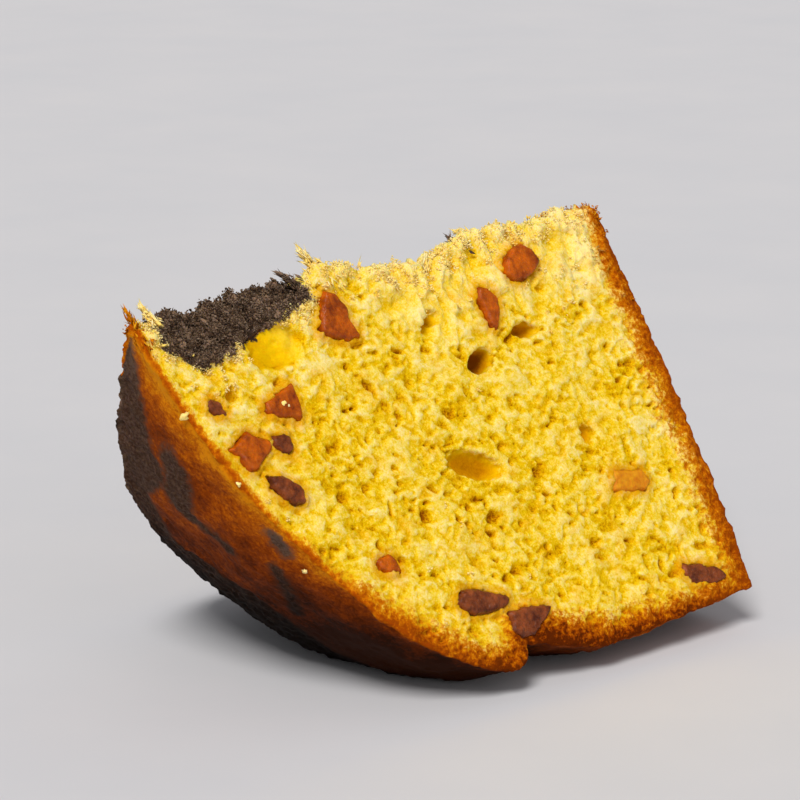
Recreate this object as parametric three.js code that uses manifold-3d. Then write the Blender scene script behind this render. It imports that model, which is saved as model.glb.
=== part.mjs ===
// One wedge of a low, domed, marbled panettone with candied orange and raisins.
// It lies on its round side wall with a cut face up. Millimetres, +Z up.
//
// The wedge is modelled in the cake's own frame: base at z = 0, axis along +Z,
// +X outward along the middle of the wedge, +Y towards the front cut. The last
// lines turn it over into the way it rests.

import * as THREE from 'three';
import * as BufferGeometryUtils from 'three/addons/utils/BufferGeometryUtils.js';
import { ImprovedNoise } from 'three/addons/math/ImprovedNoise.js';
import Module from 'manifold-3d';

const wasm = await Module();
wasm.setup();
const noise = new ImprovedNoise();

// Cake outline
const CAKE_RADIUS = 94;
const CAKE_HEIGHT = 116;
const BASE_EDGE = 0.8;
const BASE_BULGE = 1.9;
const WALL_TOP_RADIUS = 91.7;
const WALL_TOP = 41;
const NECK_RADIUS = 84;
const NECK_START = 52;
const NECK_HEIGHT = 59;
const RIM_RADIUS = 88;
const RIM_HEIGHT = 63.5;
const RIM_EDGE = 1;
const DOME_EXPONENT = 1.57;
const DOME_STEPS = 18;
const CAKE_STEPS = 96;
const CRUST_UNEVENNESS = 0.9;
const CRUST_WAVE = 17;

// Wedge: the two cuts, as angles from its middle, and the relief that they leave
const FRONT_CUT = THREE.MathUtils.degToRad(25.2);
const BACK_CUT = THREE.MathUtils.degToRad(-32.5);
const FRONT_GRID = 3.6;
const BACK_GRID = 5;
const CRUMB_RELIEF = 0.7;
const CRUMB_SINK = 0.3;
const CRUMB_WAVE = 7;

// Torn tip: how far from the axis the tear runs, at heights above the base
const FRONT_TEAR = [
  [-6, 11.8], [0, 11.8], [18, 11], [26, 9.3], [37, 8], [43, 9.7], [48, 11.7], [60, 7.6],
  [70, 3], [73, 1.5], [76, 8], [90, 10.7], [105, 13.1], [110, 8.9], [114, 4.5], [122, 2],
];
const BACK_TEAR = [
  [-6, 17], [12, 18], [30, 16], [50, 16.5], [60, 14], [66, 11], [72, 7.2], [88, 5.3],
  [100, 6.3], [107, 2], [113, 1], [122, 1],
];
const TEAR_GRID = 3;
const TEAR_RELIEF = 1.1;
const TEAR_WAVE = 6;
const TEAR_BLEND = 3;

// Resting position: how far the cake's axis dips, and how deep the flat spot is
const DIP = THREE.MathUtils.degToRad(7.68);
const FLOOR_BELOW_AXIS = 93.3;

// Room between a fruit piece and the crumb around it, how wide and how deep its
// upper edge slopes, and how much the knife took off a piece in the back cut
const FRUIT_GAP = 0.35;
const FRUIT_SLOPE_WIDTH = 0.4;
const FRUIT_SLOPE_DEPTH = 0.8;
const KNIFE_TAKES = 0.6;

// Colours of the four kinds of piece
const CRUMB_COLOUR = 0xe9c443;
const ORANGE_COLOUR = 0xb5541c;
const PALE_ORANGE_COLOUR = 0xe0a03c;
const RAISIN_COLOUR = 0x5a2c26;

// Fruit on the front cut: the corners of each piece's outline, as distance from the
// axis and height above the base, its depth, and how far it stands proud
const FRONT_ORANGE = [
  {
    corners: [[8.9, 73], [9.8, 71.2], [13, 70.2], [14.7, 70.4], [18.2, 69.6], [18, 71.9], [16.3, 75.3],
      [15, 76.7], [11, 74.6]],
    depth: 6,
    proud: 0.9,
  },
  {
    corners: [[22.4, 88.7], [24.5, 88.6], [26.2, 88.8], [28.2, 89.5], [27.3, 90.9], [26.8, 93.2], [24.9, 95.8],
      [23.9, 95.3], [23.1, 91.3]],
    depth: 5,
    proud: 0.6,
  },
  {
    corners: [[27.5, 101.9], [29, 100.5], [30.3, 98.3], [31.2, 98.5], [32.7, 101], [33.8, 103.1], [33.6, 104.4],
      [30.8, 105], [29.2, 106.3], [28.7, 104.2]],
    depth: 5,
    proud: 0.5,
  },
  {
    corners: [[13.8, 23.3], [15.3, 21.9], [17.5, 21.1], [18.9, 22.8], [19.5, 25.6], [19, 27.9], [17.8, 29.2],
      [15.4, 28.1], [14, 25.8]],
    depth: 6,
    proud: 1.6,
  },
  {
    corners: [[18.5, 37], [19.3, 35.3], [21.6, 34], [23.9, 34.9], [26.5, 36.7], [25.9, 37.4], [23.1, 37.4],
      [20.3, 37.8]],
    depth: 5,
    proud: 0.7,
  },
  {
    corners: [[61.7, 22.6], [62.6, 19.6], [63.7, 16.1], [66, 15.1], [67, 16.6], [65.9, 20.3], [64.7, 24]],
    depth: 4,
    proud: 0.4,
  },
  {
    corners: [[58.6, 85.1], [58.5, 82.5], [59.8, 81.7], [61.6, 81.6], [60.9, 83.3], [59.7, 85.3]],
    depth: 4,
    proud: 0.4,
  },
];

const FRONT_RAISINS = [
  {
    corners: [[30.2, 96.6], [30.2, 95], [31, 93.7], [33.1, 93.9], [33.5, 95], [32.5, 96.1], [31.3, 96.9]],
    depth: 4,
    proud: 0.4,
  },
  {
    corners: [[36.8, 101], [37.6, 99.1], [39.1, 97.1], [41, 95.9], [42.4, 96.4], [42.2, 98], [40.3, 99.8],
      [38.1, 101.1]],
    depth: 5,
    proud: 1,
  },
  {
    corners: [[71.4, 71.3], [70.5, 69.3], [70.8, 67.4], [73.8, 62], [75, 60.5], [75.6, 61.1], [75.3, 65.2],
      [74.8, 68.5], [73.3, 70.6]],
    depth: 5,
    proud: 0.7,
  },
  {
    corners: [[77.7, 60.8], [78.6, 55.6], [79.8, 51.7], [81.2, 53.7], [82.6, 57.2], [82, 60.4], [80.6, 61.6],
      [79.3, 60.7]],
    depth: 6,
    proud: 0.7,
  },
  {
    corners: [[84.5, 14.8], [85.6, 11.2], [87.7, 7.3], [89.4, 6.2], [89.7, 9.2], [87.9, 13.5], [85.7, 15.2]],
    depth: 5,
    proud: 0.4,
  },
  {
    corners: [[19.5, 107], [20.5, 105.2], [22.4, 105], [22.1, 106.6], [20.8, 107.6]],
    depth: 4,
    proud: 0.3,
  },
];

// The back cut carries the same fruit, spread over it in the same way
const BACK_ORANGE = [
  { r: 28, z: 30, size: [8.5, 6.5, 7], turn: 35, proud: 1.2 },
  { r: 52, z: 72, size: [8, 5.5, 6], turn: -15, proud: 0.6 },
  { r: 70, z: 33, size: [7, 5, 6], turn: 70, proud: 0.8 },
  { r: 33, z: 92, size: [6, 4.4, 6], turn: 50, proud: 0.5 },
];

const BACK_RAISINS = [
  { r: 45, z: 47, size: [8.4, 4.8, 6], turn: 25, proud: 1.2 },
  { r: 78, z: 60, size: [9, 4.6, 6], turn: -60, proud: 0.8 },
  { r: 60, z: 12, size: [7.6, 4.4, 6], turn: 80, proud: 1 },
  { r: 21, z: 63, size: [6, 4.2, 5], turn: -30, proud: 0.8 },
];

// Large holes in the crumb: place, length, width, depth, turn, and how far the
// hole's centre lies outside the cut
const FRONT_HOLES = [
  { r: 13.8, z: 89.7, size: [13, 8, 5], turn: -39, proud: 1.2 },
  { r: 31.5, z: 42.8, size: [7.6, 5, 12], turn: 75, proud: 0 },
  { r: 49.5, z: 54.3, size: [15, 6.4, 7], turn: -61, proud: 0 },
  { r: 52.5, z: 24.9, size: [5, 3.6, 6], turn: 0, proud: 0 },
  { r: 29.2, z: 29.4, size: [7, 3.6, 8], turn: -75, proud: 0 },
  { r: 20.8, z: 51.5, size: [7, 4.4, 6], turn: 64, proud: 0 },
  { r: 19.9, z: 101.7, size: [4, 3, 5], turn: 30, proud: 0 },
];

const BACK_HOLES = [
  { r: 40, z: 62, size: [13, 5, 8], turn: 40, proud: 0 },
  { r: 58, z: 46, size: [8, 5, 9], turn: -50, proud: 0 },
  { r: 36, z: 16, size: [10, 4, 6], turn: 10, proud: 0 },
  { r: 66, z: 78, size: [7, 4, 6], turn: 60, proud: 0 },
];

// Closed bodies and three.js geometries, to and fro

function weld(geometry) {
  geometry.deleteAttribute('normal');
  geometry.deleteAttribute('uv');
  return BufferGeometryUtils.mergeVertices(geometry);
}

function isFlat(a, b, c) {
  return a === b || b === c || c === a;
}

function toSolid(geometry) {
  const index = geometry.index.array;
  const corners = [];
  for (let i = 0; i < index.length; i += 3) {
    if (!isFlat(index[i], index[i + 1], index[i + 2])) {
      corners.push(index[i], index[i + 1], index[i + 2]);
    }
  }
  return new wasm.Manifold(new wasm.Mesh({
    numProp: 3,
    vertProperties: new Float32Array(geometry.attributes.position.array),
    triVerts: new Uint32Array(corners),
  }));
}

function toGeometry(solid) {
  const mesh = solid.getMesh();
  const geometry = new THREE.BufferGeometry();
  geometry.setAttribute('position', new THREE.BufferAttribute(mesh.vertProperties, 3));
  geometry.setIndex(new THREE.BufferAttribute(mesh.triVerts, 1));
  geometry.computeVertexNormals();
  return geometry;
}

// Moves every point of a geometry by a function of its place
function reshape(geometry, move) {
  const position = geometry.attributes.position;
  const point = new THREE.Vector3();
  for (let i = 0; i < position.count; i += 1) {
    point.fromBufferAttribute(position, i);
    move(point);
    position.setXYZ(i, point.x, point.y, point.z);
  }
  return geometry;
}

// Height of smooth, repeatable unevenness at a place, from -1 to 1
function ripple(point, wave, seed) {
  return noise.noise(point.x / wave + seed, point.y / wave - seed, point.z / wave + 2 * seed);
}

// Value at a height, between the two nearest entries of a [height, value] list
function along(list, height) {
  const next = list.findIndex((entry) => entry[0] >= height);
  if (next === 0) {
    return list[0][1];
  }
  if (next < 0) {
    return list[list.length - 1][1];
  }
  const [z0, v0] = list[next - 1];
  const [z1, v1] = list[next];
  return THREE.MathUtils.mapLinear(height, z0, z1, v0, v1);
}

// The cake before it was cut: base, upright wall, neck, overhanging rim and dome
function cakeOutline() {
  const outline = [
    new THREE.Vector2(0, 0),
    new THREE.Vector2(CAKE_RADIUS * 0.2, -BASE_BULGE * 0.3),
    new THREE.Vector2(CAKE_RADIUS * 0.45, -BASE_BULGE * 0.8),
    new THREE.Vector2(CAKE_RADIUS * 0.75, -BASE_BULGE),
    new THREE.Vector2(CAKE_RADIUS - BASE_EDGE, -BASE_EDGE),
    new THREE.Vector2(CAKE_RADIUS, 0),
    new THREE.Vector2(THREE.MathUtils.lerp(CAKE_RADIUS, WALL_TOP_RADIUS, 0.5), WALL_TOP / 2),
    new THREE.Vector2(WALL_TOP_RADIUS, WALL_TOP),
    new THREE.Vector2(THREE.MathUtils.lerp(WALL_TOP_RADIUS, NECK_RADIUS, 0.6), NECK_START),
    new THREE.Vector2(NECK_RADIUS, NECK_HEIGHT),
    new THREE.Vector2(RIM_RADIUS - RIM_EDGE, NECK_HEIGHT + 2 * RIM_EDGE),
  ];
  const power = 2 / DOME_EXPONENT;
  for (let i = 0; i <= DOME_STEPS; i += 1) {
    const t = (i / DOME_STEPS) * (Math.PI / 2);
    const r = i === DOME_STEPS ? 0 : RIM_RADIUS * Math.cos(t) ** power;
    const z = RIM_HEIGHT + (CAKE_HEIGHT - RIM_HEIGHT) * Math.sin(t) ** power;
    outline.push(new THREE.Vector2(r, z));
  }
  return outline;
}

function wholeCake() {
  const geometry = weld(new THREE.LatheGeometry(cakeOutline(), CAKE_STEPS));
  geometry.rotateX(Math.PI / 2);
  reshape(geometry, (point) => {
    const fade = Math.min(1, point.z / NECK_HEIGHT);
    const bump = ripple(point, CRUST_WAVE, 3) * CRUST_UNEVENNESS * fade;
    const r = Math.hypot(point.x, point.y);
    if (r > 0) {
      point.multiplyScalar(1 + bump / point.length());
    }
  });
  return toSolid(geometry);
}

// A thick block behind one cut, with the uneven crumb on its cut side. It runs
// along the cut from behind the axis to past the wall; side is 1 where the cut
// faces +Y and -1 where it faces -Y.
function cutBlock(angle, side, grid, seed) {
  const pastAxis = 25;
  const pastBase = 10;
  const length = CAKE_RADIUS + pastAxis + 15;
  const height = CAKE_HEIGHT + 2 * pastBase;
  const depth = CAKE_RADIUS + 20;
  const columns = Math.round(length / grid);
  const rows = Math.round(height / grid);
  const geometry = weld(new THREE.BoxGeometry(length, depth, height, columns, 1, rows));
  geometry.translate(length / 2 - pastAxis, (-side * depth) / 2, height / 2 - pastBase);
  reshape(geometry, (point) => {
    if (Math.abs(point.y) < depth / 2) {
      point.y += side * CRUMB_RELIEF * (ripple(point, CRUMB_WAVE, seed) - CRUMB_SINK);
    }
  });
  geometry.rotateZ(angle);
  return toSolid(geometry);
}

// What is left of the cake outside the torn tip. The tear runs from its place on
// the front cut to its place on the back cut.
function tearX(y, z) {
  const front = along(FRONT_TEAR, z) * Math.cos(FRONT_CUT);
  const back = along(BACK_TEAR, z) * Math.cos(BACK_CUT);
  return THREE.MathUtils.lerp(back, front, THREE.MathUtils.smoothstep(y, -TEAR_BLEND, TEAR_BLEND));
}

function tearBlock() {
  const pastBase = 6;
  const length = CAKE_RADIUS + 20;
  const height = CAKE_HEIGHT + 2 * pastBase;
  const tearWidth = 36;
  const fullWidth = 3 * CAKE_RADIUS;
  const rows = Math.round(height / TEAR_GRID);
  const columns = Math.round(tearWidth / TEAR_GRID);
  const geometry = weld(new THREE.BoxGeometry(length, tearWidth, height, 1, columns, rows));
  geometry.translate(length / 2, 0, height / 2 - pastBase);
  reshape(geometry, (point) => {
    if (point.x < length / 2) {
      point.x = tearX(point.y, point.z) + TEAR_RELIEF * ripple(point, TEAR_WAVE, 5);
    }
    if (Math.abs(point.y) > tearWidth / 2 - TEAR_GRID / 2) {
      point.y *= fullWidth / tearWidth;
    }
  });
  return toSolid(geometry);
}

// Lays a shape of size 2 in a cut: its length runs away from the axis, its width
// up the cake and its depth into the crumb, with its middle sunk below the cut.
function placeInCut(geometry, item, angle, side, sink, extra) {
  const [length, width, depth] = item.size.map((value) => value / 2 + extra);
  geometry.scale(length, depth, width);
  geometry.rotateY(-THREE.MathUtils.degToRad(item.turn));
  geometry.translate(item.r, -side * sink, item.z);
  geometry.rotateZ(angle);
  return toSolid(geometry);
}

function holeSolid(item, angle, side) {
  const ball = weld(new THREE.IcosahedronGeometry(1, 1));
  return placeInCut(ball, item, angle, side, -item.proud, 0);
}

// Candied orange: an uneven dice with round edges
function orangeShape(seed) {
  const roundness = 4;
  const unevenness = 0.22;
  return reshape(weld(new THREE.BoxGeometry(2, 2, 2, 2, 2, 2)), (point) => {
    const norm = Math.abs(point.x) ** roundness + Math.abs(point.y) ** roundness
      + Math.abs(point.z) ** roundness;
    const length = norm ** (-1 / roundness);
    point.multiplyScalar(length * (1 + unevenness * ripple(point, 0.9, seed)));
  });
}

// Raisin: a wrinkled egg
function raisinShape(seed) {
  const wrinkle = 0.2;
  return reshape(weld(new THREE.IcosahedronGeometry(1, 1)), (point) => {
    point.multiplyScalar(1 + wrinkle * ripple(point, 0.45, seed));
  });
}

// A flat block that trims a fruit piece where the knife went through it
function knifeBlock(item, angle, side) {
  const size = 60;
  const geometry = weld(new THREE.BoxGeometry(size, size, size));
  geometry.translate(item.r, side * (item.proud - size / 2), item.z);
  geometry.rotateZ(angle);
  return toSolid(geometry);
}

// A fruit piece with a given outline on the front cut, larger all round by extra
function outlineSolid(item, extra) {
  const shape = new THREE.Shape(item.corners.map(([r, z]) => new THREE.Vector2(r, z)));
  const geometry = weld(new THREE.ExtrudeGeometry(shape, {
    depth: item.depth + extra,
    steps: 1,
    bevelThickness: FRUIT_SLOPE_DEPTH,
    bevelSize: FRUIT_SLOPE_WIDTH,
    bevelOffset: extra,
    bevelSegments: 1,
  }));
  geometry.rotateX(Math.PI / 2);
  geometry.translate(0, item.proud - FRUIT_SLOPE_DEPTH, 0);
  geometry.rotateZ(FRONT_CUT);
  return toSolid(geometry);
}

function frontFruit(items, kind, colour) {
  return items.map((item, i) => ({
    name: `${kind}_${i + 1}`,
    colour,
    piece: outlineSolid(item, 0),
    pocket: outlineSolid(item, FRUIT_GAP),
  }));
}

function backFruit(items, kind, shape, colour, first) {
  const angle = BACK_CUT;
  const side = -1;
  return items.map((item, i) => {
    const number = first + i;
    const sink = item.size[2] / 2 - item.proud - KNIFE_TAKES;
    const whole = placeInCut(shape(number), item, angle, side, sink, 0);
    return {
      name: `${kind}_${number}`,
      colour,
      piece: whole.intersect(knifeBlock(item, angle, side)),
      pocket: placeInCut(shape(number), item, angle, side, sink, FRUIT_GAP),
    };
  });
}

function allFruit() {
  return [
    ...frontFruit(FRONT_ORANGE, 'candied_orange', ORANGE_COLOUR),
    ...backFruit(BACK_ORANGE, 'candied_orange', orangeShape, PALE_ORANGE_COLOUR, FRONT_ORANGE.length + 1),
    ...frontFruit(FRONT_RAISINS, 'raisin', RAISIN_COLOUR),
    ...backFruit(BACK_RAISINS, 'raisin', raisinShape, RAISIN_COLOUR, FRONT_RAISINS.length + 1),
  ];
}

// How the wedge lies: the cake's axis points along -X and a little down
function restMatrix() {
  const outward = new THREE.Vector3(Math.sin(DIP), 0, -Math.cos(DIP));
  const front = new THREE.Vector3(0, -1, 0);
  const axis = new THREE.Vector3(-Math.cos(DIP), 0, -Math.sin(DIP));
  return new THREE.Matrix4().makeBasis(outward, front, axis);
}

// Everything below the surface that the wedge lies on, in the cake's frame
function floorBlock() {
  const size = 400;
  const geometry = weld(new THREE.BoxGeometry(size, size, size));
  geometry.translate(0, 0, -size / 2 - FLOOR_BELOW_AXIS);
  geometry.applyMatrix4(restMatrix().invert());
  return toSolid(geometry);
}

function wedgeSolid(fruit) {
  let wedge = wholeCake()
    .intersect(cutBlock(FRONT_CUT, 1, FRONT_GRID, 1))
    .intersect(cutBlock(BACK_CUT, -1, BACK_GRID, 2))
    .intersect(tearBlock())
    .subtract(floorBlock());
  FRONT_HOLES.forEach((hole) => {
    wedge = wedge.subtract(holeSolid(hole, FRONT_CUT, 1));
  });
  BACK_HOLES.forEach((hole) => {
    wedge = wedge.subtract(holeSolid(hole, BACK_CUT, -1));
  });
  fruit.forEach((entry) => {
    wedge = wedge.subtract(entry.pocket);
  });
  return wedge;
}

function namedMesh(name, solid, colour, roughness) {
  const material = new THREE.MeshStandardMaterial({ color: colour, roughness, metalness: 0 });
  const mesh = new THREE.Mesh(toGeometry(solid), material);
  mesh.name = name;
  return mesh;
}

// The wedge and its fruit, turned over, with the middle of the box at X = Y = 0
// and the flat spot at Z = 0
function restingSlice() {
  const fruit = allFruit();
  const cake = new THREE.Group();
  cake.add(namedMesh('slice', wedgeSolid(fruit), CRUMB_COLOUR, 0.9));
  fruit.forEach((entry) => {
    cake.add(namedMesh(entry.name, entry.piece, entry.colour, 0.4));
  });
  cake.applyMatrix4(restMatrix());
  cake.position.z = FLOOR_BELOW_AXIS;
  const middle = new THREE.Box3().setFromObject(cake, true).getCenter(new THREE.Vector3());
  cake.position.x = -middle.x;
  cake.position.y = -middle.y;
  const group = new THREE.Group();
  group.add(cake);
  return group;
}

const group = restingSlice();
export default group;
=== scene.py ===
"""One wedge of a low, domed panettone: yellow crumb, cocoa marbling, candied orange and raisins."""

import math
from types import SimpleNamespace

import bmesh
import bpy
import numpy as np
from mathutils import Euler, Matrix, Vector
from mathutils.kdtree import KDTree


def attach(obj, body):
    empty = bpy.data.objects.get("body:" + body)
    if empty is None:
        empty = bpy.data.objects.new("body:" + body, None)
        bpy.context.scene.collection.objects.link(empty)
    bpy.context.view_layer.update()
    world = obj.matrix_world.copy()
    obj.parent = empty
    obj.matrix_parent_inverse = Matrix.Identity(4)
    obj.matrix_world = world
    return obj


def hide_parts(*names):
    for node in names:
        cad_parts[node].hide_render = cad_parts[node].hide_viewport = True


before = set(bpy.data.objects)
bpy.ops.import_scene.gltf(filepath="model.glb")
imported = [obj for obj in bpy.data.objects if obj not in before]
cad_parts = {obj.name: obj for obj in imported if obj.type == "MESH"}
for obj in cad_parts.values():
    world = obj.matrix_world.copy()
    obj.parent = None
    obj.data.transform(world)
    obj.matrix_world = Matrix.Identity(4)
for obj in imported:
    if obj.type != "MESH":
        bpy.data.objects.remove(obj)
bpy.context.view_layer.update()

MM = 0.001

# The cake's own frame: millimetres, axis along z from the base, x outward along
# the middle of the wedge, y towards the front cut
BASE_CENTRE = Vector((0.05076, -0.00531, 0.0933))
DIP = math.radians(7.68)
OUTWARD = Vector((math.sin(DIP), 0, -math.cos(DIP)))
FRONTWARD = Vector((0, -1, 0))
CAKE_AXIS = Vector((-math.cos(DIP), 0, -math.sin(DIP)))
FRONT_CUT = math.radians(25.2)
BACK_CUT = math.radians(-32.5)

# Outline of the whole cake: distance from the axis and height above the base
CAKE_RADIUS = 94
CAKE_HEIGHT = 116
RIM_RADIUS = 88
RIM_HEIGHT = 63.5
DOME_EXPONENT = 1.57
BASE_LINE = [(0, 0), (18.8, -0.6), (42.3, -1.5), (70.5, -1.9), (93.2, -0.8)]
WALL_LINE = [(CAKE_RADIUS, 0), (91.7, 41), (87.1, 52), (84, 59), (87, 61)]

# Torn tip: how far from the axis the tear runs on each cut, at heights above the base
FRONT_TEAR = [
    (-6, 11.8), (0, 11.8), (18, 11), (26, 9.3), (37, 8), (43, 9.7), (48, 11.7), (60, 7.6),
    (70, 3), (73, 1.5), (76, 8), (90, 10.7), (105, 13.1), (110, 8.9), (114, 4.5), (122, 2),
]
BACK_TEAR = [
    (-6, 17), (12, 18), (30, 16), (50, 16.5), (60, 14), (66, 11), (72, 7.2), (88, 5.3),
    (100, 6.3), (107, 2), (113, 1), (122, 1),
]
TEAR_BLEND = 3

# Thickness of the browned dough: by height above the base, and under the base by radius
BROWN_BY_HEIGHT = [(0, 5), (30, 6), (55, 7), (68, 7), (85, 5.2), (95, 3), (103, 1.8), (116, 1.2)]
BROWN_BY_RADIUS = [(0, 5.5), (50, 7), (CAKE_RADIUS, 8.5)]

# How dark the crust and the browned dough under it are baked, by height above the
# base, the crust's line also holding painted shade that darkens it around the rim and low
# on the dome; and how much lighter the crust is along the front cut, by distance
# behind it: its cut lip, and painted light on the crust behind the lip
BAKE_AND_SHADE = [
    (-3, 0.6), (10, 0.7), (50, 0.95), (64, 1.36), (75, 1.34), (87, 1.06), (96, 0.64), (104, 0.44),
    (116, 0.42),
]
BAKE_INSIDE = [(-3, 0.2), (8, 0.25), (20, 0.55), (40, 0.6), (60, 0.55), (75, 0.3), (90, 0.1), (116, 0)]
EDGE_LIP_AND_LIGHT = [(0, 0.5), (1.5, 0.42), (5, 0.2), (12, 0)]

# Walls of the crumb run along this direction, given as (x, y, height). They are
# drawn out by this much, and strands at the tear by more
CRUMB_GRAIN = np.array([0.485, 0, -0.875])
CRUMB_DRAWN = 1.35
STRAND_DRAWN = 3.5

# Pores of the crumb: how far apart, smallest and largest radius, and seed
SMALL_PORES = (1.8, 0.5, 1.25, 41)
LARGE_PORES = (5.2, 0.9, 2.6, 55)
BROWN_PORES = (1.5, 0.3, 0.9, 68)

# Unevenness in layers: the height and the width of their humps in millimetres, and a seed
CRUMB_WALLS = [(0.3, 1.9, 31), (0.6, 1.05, 32), (0.7, 0.65, 33)]
CRUMB_PATCHES = [(0.25, 4.5, 35)]
CRUMB_SWELL = [(0.45, 6.5, 63)]
TORN_STRANDS = [(1.3, 1.5, 65), (0.9, 0.75, 69)]
FRUIT_LEDGE = [(0.7, 1.1, 87), (0.35, 0.6, 88)]
BROWN_GRAIN = [(0.2, 0.8, 66), (0.35, 1.9, 67)]
COCOA_SWIRL = [(5, 14, 81), (2.5, 6, 82)]
DOME_WRINKLES = [(0.16, 1.7, 71), (0.12, 0.8, 72), (0.45, 7, 73)]
WALL_ROUGHNESS = [(0.4, 2.9, 74), (0.2, 1.1, 75)]
COCOA_ROUGHNESS = [(0.4, 2.3, 78), (0.25, 0.8, 79)]
FRONT_LIP = [(0.5, 3.4, 84), (0.25, 1.3, 85)]
BACK_EDGE = [(0.4, 1.2, 76), (0.8, 3.7, 77)]

# The crust's unevenness is turned by these angles, so that it doesn't line up with the base
ASKEW = np.array(Euler((0.6, 0.5, 0.4)).to_matrix())

# Smooth hollow in the front cut, where a bubble was: distance from the axis,
# height, half its length and width, and its turn; then its depth in millimetres
DISH = (14.2, 88.6, 7.8, 5.2, 100)
DISH_DEPTH = 1.1

# Larger pores and patches that the front cut shows: distance from the axis,
# height, half length, half width, turn in degrees, and how deep they look
PATCHES = [
    (28.1, 71.3, 2.2, 1, -30, 1.1), (35, 67.2, 1.1, 0.9, 0, 1), (26.2, 66.2, 1.3, 1, 40, 0.8),
    (20.2, 70.2, 2, 0.7, 90, 1), (52.6, 25, 2.2, 1.8, 0, 0.8), (50.3, 66.6, 1.7, 0.7, -40, 1),
    (45.3, 81.2, 1.5, 1, 60, 0.9), (70.5, 43.2, 1.7, 1.1, 90, 0.8), (36, 49.4, 2.2, 1, -20, 0.7),
    (70.5, 29.7, 2.3, 1.6, 80, 0.7), (51.3, 45.4, 1.7, 0.9, 50, 0.7), (50.6, 78.1, 1.7, 0.4, 10, 1.3),
    (35.2, 10.3, 1.8, 2.6, 0, 0.6), (52.6, 6.7, 0.5, 1.5, 0, 1.3), (82.2, 8.1, 0.9, 2.2, 20, 0.9),
    (58.5, 17.2, 1.5, 1.1, -30, 0.7), (63.4, 13.1, 1, 1, 0, 0.7), (70.4, 9.3, 1.4, 0.7, 30, 1),
    (49, 4.9, 0.4, 1, 0, 1.3), (20, 101.3, 1.5, 1, 0, 1.1), (27.1, 94.6, 1, 1, 0, 0.7),
    (26.8, 84.5, 1.4, 2.4, -30, 0.6), (34.4, 89.3, 1.3, 0.8, 0, 0.8), (42.1, 89.7, 1.9, 1.2, -30, 0.7),
]

# Cocoa marbling of the crust: the angle behind which the skin is dark, by height,
# and streaks from (height, angle) to (height, angle) with their width
COCOA_EDGE = [
    (70, 12), (80, 3), (88, 1), (90, 0), (93, -3), (95.5, -13), (96, -21), (103, -23), (104.5, -19),
    (108, -10), (110, -13), (112.9, -13), (114, -12.5), (115.6, -10), (116, -10),
]
COCOA_STREAKS = [
    ((108.7, -3), (105.2, -9), 6),
    ((106, -10), (103.7, -7.2), 4.5),
    ((103.7, -7.2), (101.2, 2.6), 2.6),
    ((102.2, 20.2), (100.9, 19.6), 3.4),
    ((99, 13.1), (90.5, 5.3), 2.8),
]

# Cocoa dough under the skin: its thickness by distance from the axis, the height
# that it starts at, the lowest height of the skin's marbling, and where the dough
# ends in the torn tip
COCOA_THICKNESS = [(0, 40), (15, 38), (30, 24), (60, 16), (80, 10), (88, 4)]
COCOA_FOOT = 76
COCOA_LOWEST = 62
COCOA_TOP = 112
TIP_RADIUS = 16

# Colours along a scale, as (place, red, green, blue): the crumb from its walls to its
# pores, darker into the pores partly as painted shade, and with painted shade in hollows
# and between torn tufts; browned dough from its outside inwards, the skin from light
# to dark
YELLOW_CRUMB_AND_SHADE = [
    (0.04, 250, 226, 150), (0.26, 244, 212, 92), (0.4, 240, 201, 48), (0.5, 234, 189, 6),
    (0.66, 220, 168, 0), (0.82, 192, 130, 0), (1, 140, 76, 0),
]
WARM_CRUMB_AND_SHADE = [(0.1, 244, 196, 40), (0.5, 226, 160, 4), (0.9, 168, 96, 0)]
COCOA_CRUMB_AND_SHADE = [(0.1, 140, 112, 90), (0.3, 104, 82, 64), (0.5, 64, 48, 38), (0.75, 28, 20, 15)]
LIGHT_BROWN = [(0.05, 170, 76, 2), (0.4, 204, 112, 4), (0.75, 224, 158, 14), (1, 238, 192, 40)]
DARK_BROWN = [
    (0.05, 90, 33, 1), (0.25, 140, 58, 1), (0.5, 182, 95, 2), (0.75, 206, 128, 6),
    (1, 232, 172, 24),
]
CRUST = [(0, 218, 134, 8), (0.2, 182, 90, 3), (0.42, 134, 56, 2), (0.68, 88, 33, 1), (1, 40, 13, 1)]
COCOA_CRUST = [(0.2, 14, 7, 4), (0.42, 38, 23, 15), (0.62, 64, 42, 30), (0.85, 96, 74, 60)]
FRUIT_STAIN = (206, 120, 14)

# The same for shreds, from darker to lighter ones, and for the floor
PALE_SHREDS = [(0, 252, 206, 84), (0.35, 254, 219, 120), (0.9, 255, 233, 166)]
BROWN_SHREDS = [(0.1, 120, 48, 2), (0.6, 206, 116, 4), (1, 236, 176, 34)]
COCOA_SHREDS = [(0, 46, 34, 27), (0.5, 90, 70, 55), (1, 148, 124, 104)]
FLOOR_TONES = [(0.3, 213, 211, 212), (0.7, 217, 214, 214)]

# How the crumb's colour follows its openness, darker where more open partly as painted shade: its mean and
# its spread
CRUMB_MEAN = 0.4
CRUMB_SPREAD = 0.37

# Unevenness of the cocoa dough's edge, in millimetres
COCOA_WANDER = 3.5

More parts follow.
